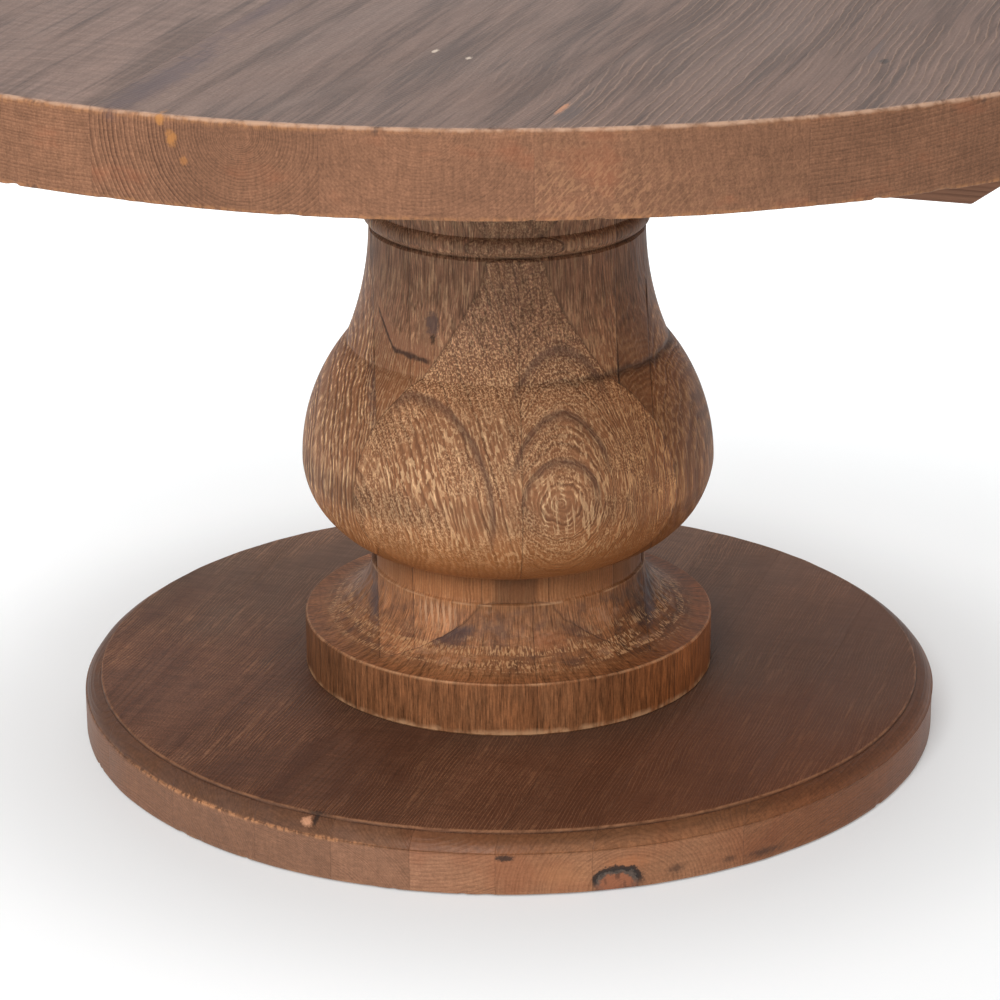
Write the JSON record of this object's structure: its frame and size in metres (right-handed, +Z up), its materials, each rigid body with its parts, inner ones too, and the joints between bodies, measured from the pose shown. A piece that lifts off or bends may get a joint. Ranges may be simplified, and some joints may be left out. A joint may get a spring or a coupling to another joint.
{
  "type": "round pedestal table",
  "caption": "Round wooden dining table: thick plank top on bevelled battens, turned baluster column and round plank base with an eased edge.",
  "frame": {"origin": "on the floor under the column's axis", "axes": "+Z up; the boards of the top and of the base run along Y, the battens along X"},
  "size_m": [1.4, 1.4, 0.755],
  "materials": {
    "top_wood": "wire-brushed, grey-brown waxed, lighter worn edges",
    "base_wood": "dark red-brown stain, wire-brushed, worn edges",
    "core_wood": "brown stain over brushed grain",
    "foot_wood": "golden brown stain, brushed, worn arrises",
    "belly_wood": "golden brown stain over deeply brushed grain",
    "capital_wood": "brown stain over brushed grain",
    "batten_wood": "brown stain, sawn and bevelled",
    "plate_wood": "brown stain, planed",
    "dowel_wood": "raw, fluted",
    "zinc_steel": "bright zinc plated",
    "insert_brass": "plain turned",
    "glide_nylon": "matt dark nylon"
  },
  "bodies": {
    "root": {"top_plank_1": "top_wood", "top_plank_2": "top_wood", "top_plank_3": "top_wood", "top_plank_4": "top_wood", "top_plank_5": "top_wood", "top_plank_6": "top_wood", "top_plank_7": "top_wood", "top_plank_8": "top_wood", "top_plank_9": "top_wood", "base_board_1": "base_wood", "base_board_2": "base_wood", "base_board_3": "base_wood", "base_board_4": "base_wood", "base_board_5": "base_wood", "base_board_6": "base_wood", "base_board_7": "base_wood", "base_board_8": "base_wood", "base_board_9": "base_wood", "core_board_1": "core_wood", "core_board_2": "core_wood", "core_board_3": "core_wood", "core_board_4": "core_wood", "core_board_5": "core_wood", "foot_block_left": "foot_wood", "foot_block_right": "foot_wood", "foot_block_front_left": "foot_wood", "foot_block_front_right": "foot_wood", "foot_block_back_left": "foot_wood", "foot_block_back_right": "foot_wood", "belly_block_left": "belly_wood", "belly_block_right": "belly_wood", "belly_block_front_left": "belly_wood", "belly_block_front_right": "belly_wood", "belly_block_back_left": "belly_wood", "belly_block_back_right": "belly_wood", "capital_block_left": "capital_wood", "capital_block_right": "capital_wood", "capital_block_front": "capital_wood", "capital_block_back": "capital_wood", "batten_front": "batten_wood", "batten_back": "batten_wood", "top_plate": "plate_wood", "top_dowels": "dowel_wood", "base_dowels": "dowel_wood", "tie_rod": "zinc_steel", "tie_rod_nuts": "zinc_steel", "tie_rod_washers": "zinc_steel", "base_lag_screws": "zinc_steel", "base_lag_washers": "zinc_steel", "column_head_screws": "zinc_steel", "plate_bolts": "zinc_steel", "plate_bolt_washers": "zinc_steel", "batten_screws": "zinc_steel", "glide_screws": "zinc_steel", "threaded_inserts": "insert_brass", "floor_glides": "glide_nylon"}
  },
  "joints": []
}
